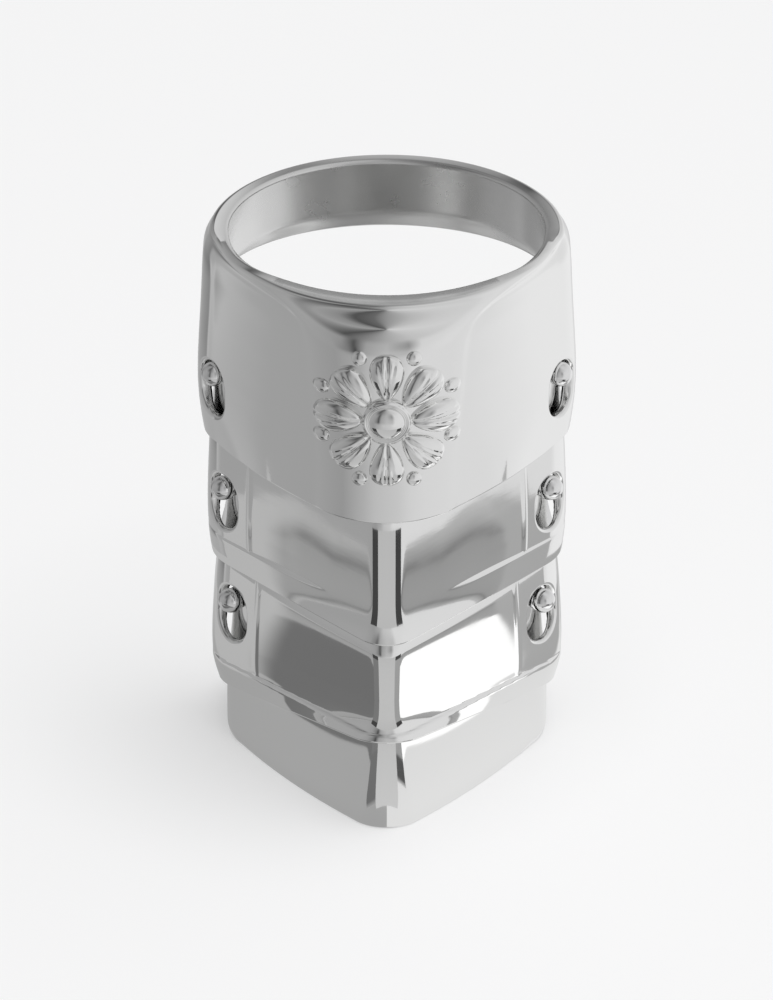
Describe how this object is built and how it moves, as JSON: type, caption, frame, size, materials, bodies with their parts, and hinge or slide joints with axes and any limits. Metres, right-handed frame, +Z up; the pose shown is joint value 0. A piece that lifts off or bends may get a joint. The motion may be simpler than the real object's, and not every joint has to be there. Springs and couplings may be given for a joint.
{
  "type": "knuckle armor ring",
  "caption": "Articulated full-finger ring of nested keeled plates joined by ball-headed pins in slots, with a round band at the top and a raised petal rosette on the front",
  "frame": {"origin": "On the floor, at the middle of the bounding box seen from above", "axes": "+Z up along the finger axis towards the round band, -Y towards the keel and rosette, +X to the wearer's side, mirror plane at X = 0"},
  "size_m": [0.023, 0.0248, 0.0343],
  "materials": {
    "silver": "mirror-polished sterling silver",
    "pin_silver": "polished sterling silver, ball-headed"
  },
  "bodies": {
    "plate_1": {"top_plate": "silver"},
    "pins_1": {"second_pin_left": "pin_silver", "second_pin_right": "pin_silver"},
    "plate_2": {"second_plate": "silver"},
    "pins_2": {"third_pin_left": "pin_silver", "third_pin_right": "pin_silver"},
    "plate_3": {"third_plate": "silver"},
    "pins_3": {"end_pin_left": "pin_silver", "end_pin_right": "pin_silver"},
    "plate_4": {"end_plate": "silver"}
  },
  "joints": [
    {"name": "slide_1", "type": "slide", "parent": "plate_1", "child": "pins_1", "axis": [0, 0, -1], "range_m": [0, 0.0018]},
    {"name": "bend_1", "type": "hinge", "parent": "pins_1", "child": "plate_2", "pos_m": [0, -0.00022, 0.02577], "axis": [1, 0, 0], "range_deg": [0, 4]},
    {"name": "slide_2", "type": "slide", "parent": "plate_2", "child": "pins_2", "axis": [0, 0, -1], "range_m": [0, 0.0018]},
    {"name": "bend_2", "type": "hinge", "parent": "pins_2", "child": "plate_3", "pos_m": [0, -0.00013, 0.01807], "axis": [1, 0, 0], "range_deg": [0, 8]},
    {"name": "slide_3", "type": "slide", "parent": "plate_3", "child": "pins_3", "axis": [0, 0, -1], "range_m": [0, 0.0018]},
    {"name": "bend_3", "type": "hinge", "parent": "pins_3", "child": "plate_4", "pos_m": [0, -0.00017, 0.01042], "axis": [1, 0, 0], "range_deg": [0, 8]}
  ]
}
